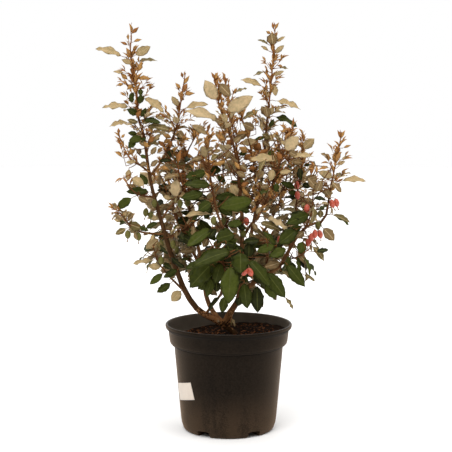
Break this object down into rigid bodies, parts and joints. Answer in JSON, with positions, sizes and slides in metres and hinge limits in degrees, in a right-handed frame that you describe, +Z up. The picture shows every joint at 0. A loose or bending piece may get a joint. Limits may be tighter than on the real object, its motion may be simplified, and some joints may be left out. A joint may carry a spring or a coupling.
{
  "type": "potted silverberry shrub",
  "caption": "Evergreen silverberry shrub in a round black nursery pot: arching woody stems, dark green leaves with beige undersides, coppery young shoots and small red fruit.",
  "frame": {"origin": "centre of the pot's flat underside, on the ground", "axes": "+Z up, +X to the right and -Y towards the viewer of the picture"},
  "size_m": [0.5365, 0.3736, 0.8474],
  "materials": {
    "pot": "black moulded polypropylene, satin where rubbed, with dried soil dust",
    "soil": "dark moist potting mix with reddish bark bits",
    "bark": "rough brown bark with pale scurfy scales",
    "foliage": "leathery leaves, dark green above and silvery beige beneath, coppery when young"
  },
  "bodies": {
    "root": {"pot": "pot", "soil": "soil", "crown": "bark", "stem_left": "bark", "stem_centre": "bark", "stem_rear": "bark", "stem_back": "bark", "stem_right": "bark", "bough_left_inner": "bark", "bough_left_low": "bark", "bough_left_bottom": "bark", "bough_left_heart": "bark", "bough_centre_left": "bark", "bough_front": "bark", "bough_right_inner": "bark", "bough_back_left": "bark", "bough_back_right": "bark", "bough_back_centre": "bark", "spray_left_top": "foliage", "spray_left_inner": "foliage", "spray_left_outer": "foliage", "spray_left_mid": "foliage", "spray_left_low": "foliage", "spray_left_bottom": "foliage", "spray_left_inside": "foliage", "spray_left_heart": "foliage", "spray_rear_left": "foliage", "spray_centre_left": "foliage", "spray_centre_front": "foliage", "spray_centre_top": "foliage", "spray_centre_second": "foliage", "spray_front_right": "foliage", "spray_right_inner": "foliage", "spray_centre_right": "foliage", "spray_tall_right": "foliage", "spray_right_mid": "foliage", "spray_right_fruit": "foliage", "spray_right_tip": "foliage", "spray_right_low": "foliage", "spray_back_left": "foliage", "spray_back_right": "foliage", "spray_back_centre": "foliage", "spray_back_low": "foliage", "spray_back_low_left": "foliage"}
  },
  "joints": []
}
